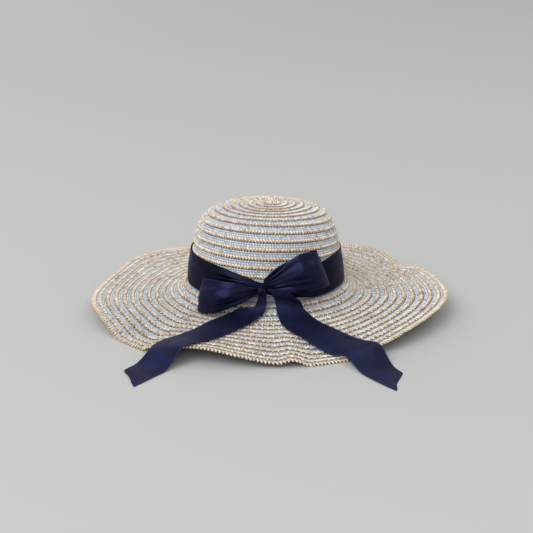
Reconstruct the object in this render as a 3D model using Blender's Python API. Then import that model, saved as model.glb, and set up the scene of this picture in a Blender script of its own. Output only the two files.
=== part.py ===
"""A floppy sun hat sewn from rows of straw braid, with a wide satin ribbon tied in a bow at the front.

While the pieces are made the crown's axis is the Z axis. The bow is at the front, towards -Y,
and +X is to the right of someone who looks at the bow. An azimuth is in degrees round that
axis: 0 along +X, 90 at the back, 270 at the front. At the end the whole hat is moved so that
the origin is at the middle of the box it fills, on the floor that it rests on.
"""

import math

import bmesh
import bpy
from mathutils import Vector

MM = 0.001

# Straw
HEAD_HALF_WIDTH = 91 * MM
HEAD_HALF_DEPTH = 88 * MM
CROWN_RISE = 90.5 * MM
FOOT_HEIGHT = 32 * MM
BRIM_WIDTH = 116 * MM
WAVE_RISE = 22 * MM
STRAW_WALL = 2 * MM
BRAID_PITCH = 9.6 * MM
BRAID_RIDGE = 0.8 * MM

# Satin ribbon
RIBBON_WIDTH = 41 * MM
RIBBON_WALL = 1 * MM
FOLD_DEPTH = 1.2 * MM
BULGE_DEPTH = 2.5 * MM
KNOT_WIDTH = 16 * MM
KNOT_HEIGHT = 17 * MM
KNOT_DEPTH = 15 * MM
KNOT_AZIMUTH = 267
KNOT_RISE = 17 * MM

# Room that is left between pieces that touch
SEAT_GAP = 0.3 * MM
TAIL_EASE = 0.8 * MM

# How finely each surface is divided
CROWN_SIDES = 44
CROWN_LINING_RINGS = 8
BRIM_SIDES = 78
BRIM_UNDER_RINGS = 7
BAND_SIDES = 44
RIBBON_STRIPES = 4
LOOP_STEPS = 16
TAIL_STEPS = 26
KNOT_SIDES = 14
KNOT_RINGS = 7

# The crown from its foot to the middle of its top.
# height: share of CROWN_RISE above the foot. girth: share of the foot's half width and depth.
CROWN_OUTLINE = (
    # height, girth
    (0.00, 1.000),
    (0.20, 0.992),
    (0.38, 0.978),
    (0.52, 0.957),
    (0.64, 0.927),
    (0.75, 0.880),
    (0.85, 0.805),
    (0.92, 0.710),
    (0.968, 0.580),
    (0.990, 0.420),
    (0.998, 0.220),
    (1.00, 0.000),
)

# The brim from the crown's foot to its edge, before its waves.
# out: share of BRIM_WIDTH. height: share of the foot's height over a brim lying on the floor.
BRIM_FALL = (
    # out, height
    (0.00, 1.00),
    (0.05, 0.88),
    (0.10, 0.73),
    (0.15, 0.60),
    (0.20, 0.53),
    (0.30, 0.45),
    (0.50, 0.33),
    (0.75, 0.16),
    (1.00, 0.00),
)

# The waves of the brim's edge. lift: share of WAVE_RISE, below 0 where the brim lies on the floor.
EDGE_WAVES = (
    # azimuth, lift
    (0, 0.91),
    (22, 0.82),
    (33, 0.45),
    (45, 0.91),
    (60, 0.86),
    (75, 0.36),
    (83, -0.22),
    (92, -0.22),
    (101, 0.14),
    (112, 0.55),
    (143, 0.84),
    (158, 0.45),
    (173, 0.36),
    (196, 0.59),
    (209, 0.41),
    (220, -0.21),
    (227, -0.21),
    (231, 0.14),
    (238, 0.45),
    (251, 0.73),
    (262, 0.50),
    (273, 0.16),
    (278, 0.30),
    (285, -0.21),
    (292, -0.21),
    (297, 0.18),
    (304, 0.36),
    (320, 0.77),
    (345, 0.95),
)

# The brim's reach past the crown's foot. reach: share of BRIM_WIDTH.
EDGE_REACH = (
    # azimuth, reach
    (0, 1.035),
    (20, 1.01),
    (60, 1.02),
    (90, 1.03),
    (130, 1.01),
    (180, 0.99),
    (223, 1.00),
    (270, 1.03),
    (300, 1.02),
    (330, 1.02),
    (350, 1.055),
)

# The hat band round the crown's foot. bottom and top: share of RIBBON_WIDTH over the foot.
# fold: share of FOLD_DEPTH that its lengthwise folds stand out where the knot gathers it.
BAND_EDGES = (
    # azimuth, bottom, top, fold
    (0, 0.04, 0.99, 0.0),
    (90, 0.03, 0.97, 0.0),
    (180, 0.03, 0.95, 0.0),
    (205, 0.03, 0.95, 0.0),
    (217, 0.03, 0.93, 0.3),
    (234, 0.05, 0.87, 0.8),
    (245, 0.08, 0.79, 1.0),
    (256, 0.16, 0.69, 1.0),
    (267, 0.27, 0.56, 0.4),
    (278, 0.18, 0.70, 1.0),
    (293, 0.10, 0.85, 0.7),
    (305, 0.03, 0.92, 0.3),
    (318, 0.03, 0.95, 0.0),
    (338, 0.05, 1.03, 0.0),
)

# The bow's loops, from the knot out along the front layer, round the fold and back.
# around: degrees past the knot's side. height: share of RIBBON_WIDTH over the crown's foot.
# stand: share of RIBBON_WIDTH out from the foot's oval. width: share of RIBBON_WIDTH.
# lean: degrees that the ribbon's upper edge leans away from the knot.
# bulge: share of BULGE_DEPTH that the middle of the layer swells forward.
LEFT_LOOP = (
    # around, height, stand, width, lean, bulge
    (0.4, 0.40, 0.30, 0.34, 0, 0.2),
    (6, 0.37, 0.43, 0.52, -4, 0.5),
    (13, 0.33, 0.57, 0.72, -6, 0.9),
    (21, 0.26, 0.63, 0.93, -6, 1.0),
    (28, 0.21, 0.63, 1.02, -5, 0.8),
    (33, 0.19, 0.59, 1.04, -5, 0.4),
    (35, 0.18, 0.52, 1.04, -5, 0.0),
    (35, 0.18, 0.44, 1.04, -5, 0.0),
    (32, 0.21, 0.37, 1.02, -5, 0.0),
    (26, 0.26, 0.31, 0.93, -5, 0.0),
    (16, 0.32, 0.27, 0.72, -5, 0.0),
    (7, 0.37, 0.22, 0.52, -3, 0.0),
    (0.4, 0.41, 0.17, 0.34, 0, 0.0),
)
RIGHT_LOOP = (
    # around, height, stand, width, lean, bulge
    (0.4, 0.54, 0.27, 0.34, 0, 0.2),
    (5, 0.70, 0.33, 0.58, 4, 0.5),
    (10, 0.79, 0.39, 0.76, 0, 0.8),
    (16, 0.85, 0.42, 0.90, -6, 1.0),
    (22, 0.90, 0.43, 1.00, -12, 1.0),
    (29, 0.92, 0.40, 1.03, -17, 0.8),
    (35, 0.89, 0.37, 1.04, -20, 0.4),
    (38, 0.87, 0.30, 1.04, -20, 0.0),
    (39, 0.87, 0.22, 1.04, -20, 0.0),
    (36, 0.89, 0.15, 1.04, -20, 0.0),
    (29, 0.94, 0.12, 1.03, -16, 0.0),
    (20, 0.92, 0.12, 0.94, -8, 0.0),
    (11, 0.85, 0.13, 0.79, 0, 0.0),
    (5, 0.76, 0.14, 0.58, 4, 0.0),
    (0.4, 0.58, 0.15, 0.34, 0, 0.0),
)

# The bow's tails, from the knot over the brim and its edge onto the floor.
# out: share of BRIM_WIDTH past the foot. lift: share of RIBBON_WIDTH over brim or floor.
# across: azimuth that the ribbon's width points to, slanted at the cut end.
LEFT_TAIL = (
    # azimuth, out, lift, width, across
    (267.1, 0.087, 0.36, 0.29, 0),
    (267.1, 0.087, 0.20, 0.27, 0),
    (265.4, 0.106, 0.09, 0.37, -12),
    (259.2, 0.162, 0.03, 0.68, -45),
    (253.7, 0.281, 0.01, 0.90, -51),
    (249.1, 0.447, 0.00, 1.00, -54),
    (246.5, 0.624, 0.00, 1.00, -54),
    (243.9, 0.783, 0.00, 1.00, -53),
    (240.3, 0.903, 0.00, 0.99, -55),
    (238.7, 1.010, 0.00, 0.99, -53),
    (238.5, 1.125, 0.00, 0.98, -47),
    (239.3, 1.260, 0.00, 0.98, -42),
    (239.8, 1.410, 0.00, 1.00, -48),
    (239.7, 1.511, 0.00, 1.02, -60),
    (239.6, 1.619, 0.00, 1.09, -74),
)
RIGHT_TAIL = (
    # azimuth, out, lift, width, across
    (277.1, 0.153, 0.72, 0.46, 0),
    (279.3, 0.149, 0.60, 0.56, 0),
    (281.7, 0.134, 0.44, 0.66, 0),
    (283.7, 0.114, 0.27, 0.73, 3),
    (284.9, 0.120, 0.11, 0.78, 6),
    (286.1, 0.173, 0.04, 0.88, 14),
    (286.9, 0.276, 0.01, 0.98, 25),
    (288.6, 0.403, 0.00, 1.00, 37),
    (291.7, 0.546, 0.00, 1.00, 39),
    (294.6, 0.707, 0.00, 0.99, 37),
    (296.8, 0.859, 0.00, 0.98, 33),
    (299.1, 0.991, 0.00, 0.98, 30),
    (298.8, 1.134, 0.00, 0.99, 28),
    (298.4, 1.313, 0.00, 1.00, 38),
    (298.6, 1.508, 0.00, 1.02, 57),
    (298.9, 1.649, 0.00, 1.12, 76),
)
# A tail bends down a little past the brim's edge and then drops to the floor.
# Both are shares of BRIM_WIDTH.
EDGE_OVERHANG = 0.04
EDGE_DROP = 0.13
# Satin doesn't sink into a crease of the brim: degrees to each side that it spans.
CREASE_SPAN = 2.5


def clear_scene():
    for item in list(bpy.data.objects):
        bpy.data.objects.remove(item, do_unlink=True)


def smooth_between(table, place, column):
    """Value of one column of a table at a place between its rows, on a smooth curve."""
    last = len(table) - 1
    row = 0
    while row < last - 1 and table[row + 1][0] <= place:
        row += 1

    def slope(index):
        before = table[max(index - 1, 0)]
        after = table[min(index + 1, last)]
        return (after[column] - before[column]) / (after[0] - before[0])

    low = table[row]
    high = table[row + 1]
    span = high[0] - low[0]
    u = min(max((place - low[0]) / span, 0.0), 1.0)
    rise = 3 * u**2 - 2 * u**3
    return (
        low[column] * (1 - rise)
        + high[column] * rise
        + slope(row) * span * (u**3 - 2 * u**2 + u)
        + slope(row + 1) * span * (u**3 - u**2)
    )


def smooth_around(table, azimuth, column):
    """The same for a table of azimuths, which closes on itself."""
    before = [(row[0] - 360,) + tuple(row[1:]) for row in table[-2:]]
    after = [(row[0] + 360,) + tuple(row[1:]) for row in table[:2]]
    return smooth_between(before + list(table) + after, azimuth % 360, column)


def smooth_rows(table, count):
    """A table's rows read again at evenly spaced places, on smooth curves through them."""
    last = len(table) - 1
    rows = [(index,) + row for index, row in enumerate(table)]
    columns = range(1, len(rows[0]))
    places = [last * step / (count - 1) for step in range(count)]
    return [tuple(smooth_between(rows, place, column) for column in columns) for place in places]


def even_shares(curve, count):
    """Shares along a curve of two lengths that cut it into equally long steps."""
    fine = 400
    points = [curve(step / fine) for step in range(fine + 1)]
    lengths = [0.0]
    for start, end in zip(points, points[1:]):
        lengths.append(lengths[-1] + math.hypot(end[0] - start[0], end[1] - start[1]))
    shares = []
    for step in range(count + 1):
        wanted = lengths[-1] * step / count
        index = min(sum(length < wanted for length in lengths), fine)
        shares.append(index / fine)
    return shares


def curve_length(curve):
    fine = 400
    points = [curve(step / fine) for step in range(fine + 1)]
    return sum(math.hypot(b[0] - a[0], b[1] - a[1]) for a, b in zip(points, points[1:]))


def curve_normal(curve, share):
    """Unit normal of a curve of radius and height, to its outer side."""
    step = 0.002
    back = curve(max(share - step, 0.0))
    ahead = curve(min(share + step, 1.0))
    along = (ahead[0] - back[0], ahead[1] - back[1])
    size = math.hypot(*along)
    return along[1] / size, -along[0] / size


def direction(azimuth):
    angle = math.radians(azimuth)
    return Vector((math.cos(angle), math.sin(angle), 0.0))


def foot_radius(azimuth):
    """Radius of the oval that the crown's foot makes."""
    angle = math.radians(azimuth)
    across = HEAD_HALF_DEPTH * math.cos(angle)
    along = HEAD_HALF_WIDTH * math.sin(angle)
    return HEAD_HALF_WIDTH * HEAD_HALF_DEPTH / math.hypot(across, along)


def finish(name, colour, roughness):
    material = bpy.data.materials.new(name)
    material.use_nodes = True
    shader = material.node_tree.nodes["Principled BSDF"]
    shader.inputs["Base Color"].default_value = (*colour, 1.0)
    shader.inputs["Roughness"].default_value = roughness
    shader.inputs["Metallic"].default_value = 0.0
    return material


def make_piece(name, points, faces, material, hat):
    """An object from points and faces, with its faces turned outwards."""
    shape = bmesh.new()
    corners = [shape.verts.new(point) for point in points]
    for face in faces:
        shape.faces.new([corners[index] for index in face])
    bmesh.ops.recalc_face_normals(shape, faces=shape.faces)
    bmesh.ops.triangulate(shape, faces=shape.faces)
    mesh = bpy.data.meshes.new(name)
    shape.to_mesh(mesh)
    shape.free()
    mesh.shade_smooth()
    mesh.materials.append(material)
    piece = bpy.data.objects.new(name, mesh)
    bpy.context.collection.objects.link(piece)
    piece.parent = hat
    return piece


def ring_faces(first, second):
    """Faces between two closed rings of equally many points."""
    count = len(first)
    return [
        (first[k], first[(k + 1) % count], second[(k + 1) % count], second[k])
        for k in range(count)
    ]


# Crown: rows of straw braid sewn in a spiral from the middle of the top down to the foot


def crown_outline(share):
    """Girth and height of the crown's outer side at a share of the way from its foot."""
    knots = len(CROWN_OUTLINE) - 1
    rows = [(index / knots,) + row for index, row in enumerate(CROWN_OUTLINE)]
    girth = smooth_between(rows, share, 2)
    height = smooth_between(rows, share, 1)
    foot = FOOT_HEIGHT + SEAT_GAP
    return girth * HEAD_HALF_DEPTH, foot + height * (CROWN_RISE - SEAT_GAP)


def crown_point(share, azimuth, stand):
    """A point on the crown, stand away from its outer side."""
    reach, height = crown_outline(share)
    out, up = curve_normal(crown_outline, share)
    angle = math.radians(azimuth)
    widening = HEAD_HALF_WIDTH / HEAD_HALF_DEPTH
    return Vector((
        (reach * widening + stand * out) * math.cos(angle),
        (reach + stand * out) * math.sin(angle),
        height + stand * up,
    ))


def crown_radius(azimuth, height):
    """Distance from the axis to the crown's outer side at a height, in a horizontal plane."""
    level = (height - FOOT_HEIGHT - SEAT_GAP) / (CROWN_RISE - SEAT_GAP)
    girth = smooth_between(CROWN_OUTLINE, min(max(level, 0.0), 1.0), 1)
    return foot_radius(azimuth) * girth


def make_crown(material, hat):
    rows = round(curve_length(crown_outline) / BRAID_PITCH)
    shares = even_shares(crown_outline, rows * 2)
    azimuths = [360 * k / CROWN_SIDES for k in range(CROWN_SIDES)]
    points = []
    rings = []

    def add_ring(share, stand):
        rings.append(range(len(points), len(points) + CROWN_SIDES))
        points.extend(crown_point(share, azimuth, stand) for azimuth in azimuths)

    lining = even_shares(crown_outline, CROWN_LINING_RINGS)
    for share in reversed(lining[1:-1]):
        add_ring(share, -STRAW_WALL)
    rings.append(range(len(points), len(points) + CROWN_SIDES))
    for azimuth in azimuths:
        inner = crown_point(0.0, azimuth, -STRAW_WALL)
        points.append(Vector((inner.x, inner.y, FOOT_HEIGHT + SEAT_GAP)))
    for index, share in enumerate(shares[:-1]):
        ridge = BRAID_RIDGE if index % 2 else 0.0
        add_ring(share, ridge)

    faces = []
    for first, second in zip(rings, rings[1:]):
        faces += ring_faces(first, second)
    inner_pole = len(points)
    points.append(crown_point(1.0, 0.0, -STRAW_WALL))
    outer_pole = len(points)
    points.append(crown_point(1.0, 0.0, 0.0))
    for pole, ring in ((inner_pole, rings[0]), (outer_pole, rings[-1])):
        for k in range(CROWN_SIDES):
            faces.append((ring[k], ring[(k + 1) % CROWN_SIDES], pole))
    return make_piece("crown", points, faces, material, hat)


# Brim: the same spiral of braid carried on, flaring out and falling in waves to the floor


def brim_top(azimuth, out):
    """A point on the brim's upper side."""
    reach = BRIM_WIDTH * smooth_around(EDGE_REACH, azimuth, 1)
    fall = smooth_between(BRIM_FALL, out, 1)
    wave = smooth_around(EDGE_WAVES, azimuth, 1)
    height = STRAW_WALL + (FOOT_HEIGHT - STRAW_WALL) * fall + WAVE_RISE * wave * out**2
    point = direction(azimuth) * (foot_radius(azimuth) + reach * out)
    point.z = max(height, STRAW_WALL)
    return point


def brim_normal(azimuth, out):
    step_out = 0.01
    step_round = 1.0
    along = brim_top(azimuth, min(out + step_out, 1.0)) - brim_top(azimuth, max(out - step_out, 0.0))
    across = brim_top(azimuth + step_round, out) - brim_top(azimuth - step_round, out)
    return along.cross(across).normalized()


def brim_profile(share):
    point = brim_top(KNOT_AZIMUTH, share)
    return point.xy.length, point.z


def make_brim(material, hat):
    rows = round(curve_length(brim_profile) / BRAID_PITCH)
    azimuths = [360 * k / BRIM_SIDES for k in range(BRIM_SIDES)]
    points = []
    rings = []

    def add_ring(out, stand):
        rings.append(range(len(points), len(points) + BRIM_SIDES))
        for azimuth in azimuths:
            point = brim_top(azimuth, out) + brim_normal(azimuth, out) * stand
            point.z = max(point.z, 0.0)
            points.append(point)

    for out in reversed(even_shares(brim_profile, BRIM_UNDER_RINGS)[1:]):
        add_ring(out, -STRAW_WALL)
    rings.append(range(len(points), len(points) + BRIM_SIDES))
    for azimuth in azimuths:
        inner = direction(azimuth) * (foot_radius(azimuth) - STRAW_WALL)
        points.append(Vector((inner.x, inner.y, FOOT_HEIGHT)))
    for index, out in enumerate(even_shares(brim_profile, rows * 2)):
        ridge = BRAID_RIDGE if index % 2 else 0.0
        add_ring(out, ridge)

    faces = []
    for first, second in zip(rings, rings[1:]):
        faces += ring_faces(first, second)
    faces += ring_faces(rings[-1], rings[0])
    return make_piece("brim", points, faces, material, hat)


# Ribbon: a strip of satin, made as a thin wall round a grid of points on its middle surface


def ribbon_grid(name, stations, closed, material, hat):
    """stations are rows of points across the ribbon; closed joins the last row to the first."""
    count = len(stations)
    width = len(stations[0])

    def neighbour(index, step):
        if closed:
            return (index + step) % count
        return min(max(index + step, 0), count - 1)

    front = []
    back = []
    for i in range(count):
        for j in range(width):
            along = stations[neighbour(i, 1)][j] - stations[neighbour(i, -1)][j]
            across = stations[i][min(j + 1, width - 1)] - stations[i][max(j - 1, 0)]
            normal = along.cross(across).normalized()
            front.append(stations[i][j] + normal * RIBBON_WALL / 2)
            back.append(stations[i][j] - normal * RIBBON_WALL / 2)
    under = count * width
    faces = []
    for i in range(count if closed else count - 1):
        near = i * width
        far = ((i + 1) % count) * width
        for j in range(width - 1):
            faces.append((near + j, near + j + 1, far + j + 1, far + j))
            faces.append((under + near + j, under + far + j, under + far + j + 1, under + near + j + 1))
        for j in (0, width - 1):
            faces.append((near + j, far + j, under + far + j, under + near + j))
    if not closed:
        for start in (0, (count - 1) * width):
            for j in range(start, start + width - 1):
                faces.append((j, j + 1, under + j + 1, under + j))
    return make_piece(name, front + back, faces, material, hat)


def across_shares():
    return [j / RIBBON_STRIPES - 0.5 for j in range(RIBBON_STRIPES + 1)]


def band_point(azimuth, height, fold):
    """A point on the band's middle surface, fold further out than where it lies on the straw."""
    clear = BRAID_RIDGE + SEAT_GAP + RIBBON_WALL / 2
    point = direction(azimuth) * (crown_radius(azimuth, height) + clear + fold)
    point.z = height
    return point


def make_band(material, hat):
    stations = []
    for k in range(BAND_SIDES):
        azimuth = 360 * k / BAND_SIDES
        bottom = smooth_around(BAND_EDGES, azimuth, 1) * RIBBON_WIDTH
        top = smooth_around(BAND_EDGES, azimuth, 2) * RIBBON_WIDTH
        depth = smooth_around(BAND_EDGES, azimuth, 3) * FOLD_DEPTH
        station = []
        for j, share in enumerate(across_shares()):
            height = FOOT_HEIGHT + bottom + (top - bottom) * (share + 0.5)
            fold = max(depth, 0.0) if j % 2 else 0.0
            station.append(band_point(azimuth, height, fold))
        stations.append(station)
    return ribbon_grid("ribbon_band", stations, True, material, hat)


def knot_centre():
    height = FOOT_HEIGHT + KNOT_RISE
    seat = band_point(KNOT_AZIMUTH, height, FOLD_DEPTH)
    out = seat.xy.length + RIBBON_WALL / 2 + SEAT_GAP + KNOT_DEPTH / 2
    centre = direction(KNOT_AZIMUTH) * out
    centre.z = height
    return centre


def knot_side():
    """Degrees round the crown from the knot's middle to its side."""
    return math.degrees(math.asin(KNOT_WIDTH / 2 / knot_centre().xy.length))


def make_knot(material, hat):
    """A plump block with well rounded corners, where the ribbon is pulled tight round itself."""
    boxiness = 0.55
    centre = knot_centre()
    outward = direction(KNOT_AZIMUTH)
    sideways = direction(KNOT_AZIMUTH + 90)

    def squared(value):
        return math.copysign(abs(value) ** boxiness, value)

    points = []
    rings = []
    for ring in range(1, KNOT_RINGS):
        level = math.pi * (ring / KNOT_RINGS - 0.5)
        rings.append(range(len(points), len(points) + KNOT_SIDES))
        for k in range(KNOT_SIDES):
            turn = math.tau * k / KNOT_SIDES
            girth = squared(math.cos(level))
            point = centre + sideways * (KNOT_WIDTH / 2 * girth * squared(math.cos(turn)))
            point += outward * (KNOT_DEPTH / 2 * girth * squared(math.sin(turn)))
            point.z += KNOT_HEIGHT / 2 * squared(math.sin(level))
            points.append(point)
    faces = []
    for first, second in zip(rings, rings[1:]):
        faces += ring_faces(first, second)
    for ring, rise in ((rings[0], -1), (rings[-1], 1)):
        points.append(centre + Vector((0, 0, rise * KNOT_HEIGHT / 2)))
        for k in range(KNOT_SIDES):
            faces.append((ring[k], ring[(k + 1) % KNOT_SIDES], len(points) - 1))
    return make_piece("bow_knot", points, faces, material, hat)


def make_loop(name, side, table, material, hat):
    """A loop of ribbon; side is 1 towards growing azimuths and -1 the other way."""
    stations = []
    for around, height, stand, width, lean, bulge in smooth_rows(table, LOOP_STEPS):
        azimuth = KNOT_AZIMUTH + side * (knot_side() + around)
        station = []
        for share in across_shares():
            offset = share * width * RIBBON_WIDTH
            rise = offset * math.cos(math.radians(lean))
            run = offset * math.sin(math.radians(lean))
            swell = bulge * BULGE_DEPTH * (1 - (2 * share) ** 2)
            radius = foot_radius(azimuth) + stand * RIBBON_WIDTH + swell
            turn = math.degrees(side * run / radius)
            point = direction(azimuth + turn) * radius
            point.z = FOOT_HEIGHT + height * RIBBON_WIDTH + rise
            point.z = max(point.z, tail_ground(point) + RIBBON_WALL / 2)
            station.append(point)
        stations.append(station)
    return ribbon_grid(name, stations, False, material, hat)


def tail_ground(point):
    """Height of the brim's top, or past its edge of the ribbon's fall to the floor."""
    azimuth = math.degrees(math.atan2(point.y, point.x)) % 360
    reach = BRIM_WIDTH * smooth_around(EDGE_REACH, azimuth, 1)
    out = (point.xy.length - foot_radius(azimuth)) / reach
    place = min(max(out, 0.0), 1.0)
    spanned = (azimuth - CREASE_SPAN, azimuth, azimuth + CREASE_SPAN)
    height = max(brim_top(nearby, place).z for nearby in spanned) + BRAID_RIDGE + TAIL_EASE
    drop = min(max((out - 1.0 - EDGE_OVERHANG) / EDGE_DROP, 0.0), 1.0)
    return height * (1 - 3 * drop**2 + 2 * drop**3)


def make_tail(name, table, ceiling, material, hat):
    """A tail of the bow; it stays below the height ceiling, where the knot lets it out."""
    stations = []
    for azimuth, out, lift, width, across in smooth_rows(table, TAIL_STEPS):
        centre = direction(azimuth) * (foot_radius(azimuth) + out * BRIM_WIDTH)
        sideways = direction(across)
        station = []
        for share in across_shares():
            point = centre + sideways * (share * width * RIBBON_WIDTH)
            height = tail_ground(point) + lift * RIBBON_WIDTH + RIBBON_WALL / 2
            point.z = min(height, ceiling)
            station.append(point)
        stations.append(station)
    return ribbon_grid(name, stations, False, material, hat)


def seat_on_floor(hat, pieces):
    """Move the whole hat so that the origin is at the middle of its box, on the floor."""
    bpy.context.view_layer.update()
    corners = [piece.matrix_world @ vert.co for piece in pieces for vert in piece.data.vertices]
    low = Vector([min(corner[axis] for corner in corners) for axis in range(3)])
    high = Vector([max(corner[axis] for corner in corners) for axis in range(3)])
    middle = (low + high) / 2
    hat.location = (-middle.x, -middle.y, -low.z)


def main():
    clear_scene()
    hat = bpy.data.objects.new("hat", None)
    bpy.context.collection.objects.link(hat)
    crown_straw = finish("crown_straw", (0.47, 0.45, 0.42), 0.85)
    brim_straw = finish("brim_straw", (0.50, 0.46, 0.40), 0.85)
    knot_top = knot_centre().z + KNOT_HEIGHT / 2
    knot_bottom = knot_top - KNOT_HEIGHT - SEAT_GAP - RIBBON_WALL / 2
    band_satin = finish("band_satin", (0.020, 0.022, 0.060), 0.38)
    bow_satin = finish("bow_satin", (0.024, 0.027, 0.072), 0.36)
    pieces = [
        make_crown(crown_straw, hat),
        make_brim(brim_straw, hat),
        make_band(band_satin, hat),
        make_knot(bow_satin, hat),
        make_loop("bow_loop_left", -1, LEFT_LOOP, bow_satin, hat),
        make_loop("bow_loop_right", 1, RIGHT_LOOP, bow_satin, hat),
        make_tail("bow_tail_left", LEFT_TAIL, knot_bottom, bow_satin, hat),
        make_tail("bow_tail_right", RIGHT_TAIL, knot_top, bow_satin, hat),
    ]
    seat_on_floor(hat, pieces)


main()
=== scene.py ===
import math

import bmesh
import bpy
import numpy as np
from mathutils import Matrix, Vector


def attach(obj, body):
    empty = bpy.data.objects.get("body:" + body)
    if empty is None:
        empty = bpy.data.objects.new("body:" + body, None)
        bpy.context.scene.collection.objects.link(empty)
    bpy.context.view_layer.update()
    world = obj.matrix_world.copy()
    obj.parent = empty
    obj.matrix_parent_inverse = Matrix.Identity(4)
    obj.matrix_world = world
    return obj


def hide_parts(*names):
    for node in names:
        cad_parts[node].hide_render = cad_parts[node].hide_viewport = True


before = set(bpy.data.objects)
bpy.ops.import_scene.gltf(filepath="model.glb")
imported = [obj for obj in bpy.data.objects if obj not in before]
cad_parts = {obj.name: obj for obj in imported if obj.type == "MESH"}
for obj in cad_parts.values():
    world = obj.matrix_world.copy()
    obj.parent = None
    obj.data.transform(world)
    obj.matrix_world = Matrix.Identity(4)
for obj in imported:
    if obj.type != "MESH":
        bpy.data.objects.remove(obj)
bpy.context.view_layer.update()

# The crown's form. The real one is blocked over a wooden head while the straw is damp: an oval foot,
# nearly upright walls, a well rounded shoulder and an almost flat top. Sizes are in millimetres.
MM = 0.001
CROWN_MIDDLE = (-3.092, 30.018)
HEAD_HALF_WIDTH = 91
HEAD_HALF_DEPTH = 88
FOOT_HEIGHT = 32
CROWN_RISE = 88.4
SPIRAL_SETBACK = (5, 16)

crown_block = np.array((
    # height, girth: shares of the crown's rise and of its foot
    (0.00, 1.000), (0.20, 0.985), (0.38, 0.957), (0.52, 0.934), (0.64, 0.912), (0.75, 0.873),
    (0.85, 0.815), (0.92, 0.737), (0.968, 0.617), (0.990, 0.465), (0.998, 0.250), (1.00, 0.000),
))


def smooth(xs, ys, x):
    """A smooth curve through the points xs, ys, read at x."""
    xs, ys, x = (np.asarray(values, float) for values in (xs, ys, x))
    last = len(xs) - 1
    after = np.minimum(np.arange(last + 1) + 1, last)
    before = np.maximum(np.arange(last + 1) - 1, 0)
    slope = (ys[after] - ys[before]) / (xs[after] - xs[before])
    i = np.clip(np.searchsorted(xs, x, side="right") - 1, 0, last - 1)
    span = xs[i + 1] - xs[i]
    u = np.clip((x - xs[i]) / span, 0, 1)
    rise = 3 * u**2 - 2 * u**3
    value = ys[i] * (1 - rise) + ys[i + 1] * rise
    return value + slope[i] * span * (u**3 - 2 * u**2 + u) + slope[i + 1] * span * (u**3 - u**2)


BLOCK_POINTS = 1600
block_share = np.linspace(0, 1, BLOCK_POINTS)
block_knots = np.linspace(0, 1, len(crown_block))
block_girth = smooth(block_knots, crown_block[:, 1], block_share)[::-1]
block_height = FOOT_HEIGHT + smooth(block_knots, crown_block[:, 0], block_share)[::-1] * CROWN_RISE
block_reach = np.concatenate(((0,), np.cumsum(np.hypot(
    np.diff(block_girth * HEAD_HALF_DEPTH), np.diff(block_height)))))
CROWN_REACH = block_reach[-1]


def crown_surface(reach, azimuth):
    """Points reach millimetres from the middle of the spiral, which sits a little behind the axis."""
    angle = np.radians(azimuth)
    ease = 1 - np.clip(reach, 0, CROWN_REACH) / CROWN_REACH
    across = reach * np.cos(angle) + SPIRAL_SETBACK[0] * ease
    along = reach * np.sin(angle) + SPIRAL_SETBACK[1] * ease
    place = np.clip(np.hypot(across, along), 0, CROWN_REACH)
    angle = np.arctan2(along, across)
    girth = np.interp(place, block_reach, block_girth)
    return MM * np.stack((
        CROWN_MIDDLE[0] + girth * HEAD_HALF_WIDTH * np.cos(angle),
        CROWN_MIDDLE[1] + girth * HEAD_HALF_DEPTH * np.sin(angle),
        np.interp(place, block_reach, block_height),
    ), -1)


def outward(surface, reach, azimuth, nearest, furthest, step):
    """Unit normals of a straw surface."""
    reach = np.clip(reach, nearest, furthest)
    down = surface(reach + step, azimuth) - surface(reach - step, azimuth)
    turn = 1.5
    round_ = surface(reach, azimuth + turn) - surface(reach, azimuth - turn)
    normal = np.cross(down, round_)
    return normal / np.linalg.norm(normal, axis=-1, keepdims=True)


# The crown's straw. The real one is one long tape, 9 mm wide: two plaits of pale blue and white paper
# straw with a thick tan cord along one edge. It is sewn to itself in a spiral from the middle of the
# top, and each turn's cord laps over the next turn's plaits.
CROWN_ROWS = 16.5
SPIRAL_START = 0.22
CROWN_PITCH = CROWN_REACH / CROWN_ROWS
CORD_PLACE = 0.76
PLAIT_PLACES = (0.17, 0.43)
CORD_STAND = 0.15
PLAIT_STAND = (-0.95, -0.55)
STRAW_WALL = 2.0
LAP_DEPTH = 1.1
TOP_STATIONS = (0.0, 0.16, 0.33, 0.50, 0.62, 0.70, 0.80, 0.90, 0.97)
LINING_STATIONS = (0.0, 0.33, 0.66)
RIM_LAP = 0.8


def crown_row(turns, share):
    """Reach and azimuth of a place on the tape: turns along it and share of its width."""
    return np.clip(CROWN_PITCH * (turns + share), 0, CROWN_REACH), 360 * ((turns - SPIRAL_START) % 1)


def crown_outward(reach, azimuth):
    return outward(crown_surface, reach, azimuth, 3, CROWN_REACH - 0.5, 0.4)


def tape_strip(row, surface, normals, turns, per_turn, stations, lining, ends):
    """Points, faces and values of the tape along its spiral; lining and top meet where its reach ends."""
    steps = int(round((turns[1] - turns[0]) * per_turn))
    count = len(stations)
    along = turns[0] + np.arange(steps + per_turn + 2) / per_turn
    turn, share = np.meshgrid(along, stations, indexing="ij")
    reach, azimuth = row(turn, share)
    points = surface(reach, azimuth).reshape(-1, 3)
    normal = normals(reach, azimuth).reshape(-1, 3)
    faces = []
    for g in range(steps + 1):
        for j in range(count):
            near = g * count + j
            far = near + count
            if j < count - 1:
                faces.append((near, far, far + 1, near + 1))
            else:
                turned = (g + per_turn) * count
                faces.append((near, far, turned + count, turned))
    if lining:
        faces = [face[::-1] for face in faces]
    inside = (reach.reshape(-1) > ends[0]) & (reach.reshape(-1) < ends[1])
    lap = np.where(inside, share.reshape(-1), RIM_LAP)
    return points, faces, normal, lap, turn.reshape(-1), lining * inside.astype(float)


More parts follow.
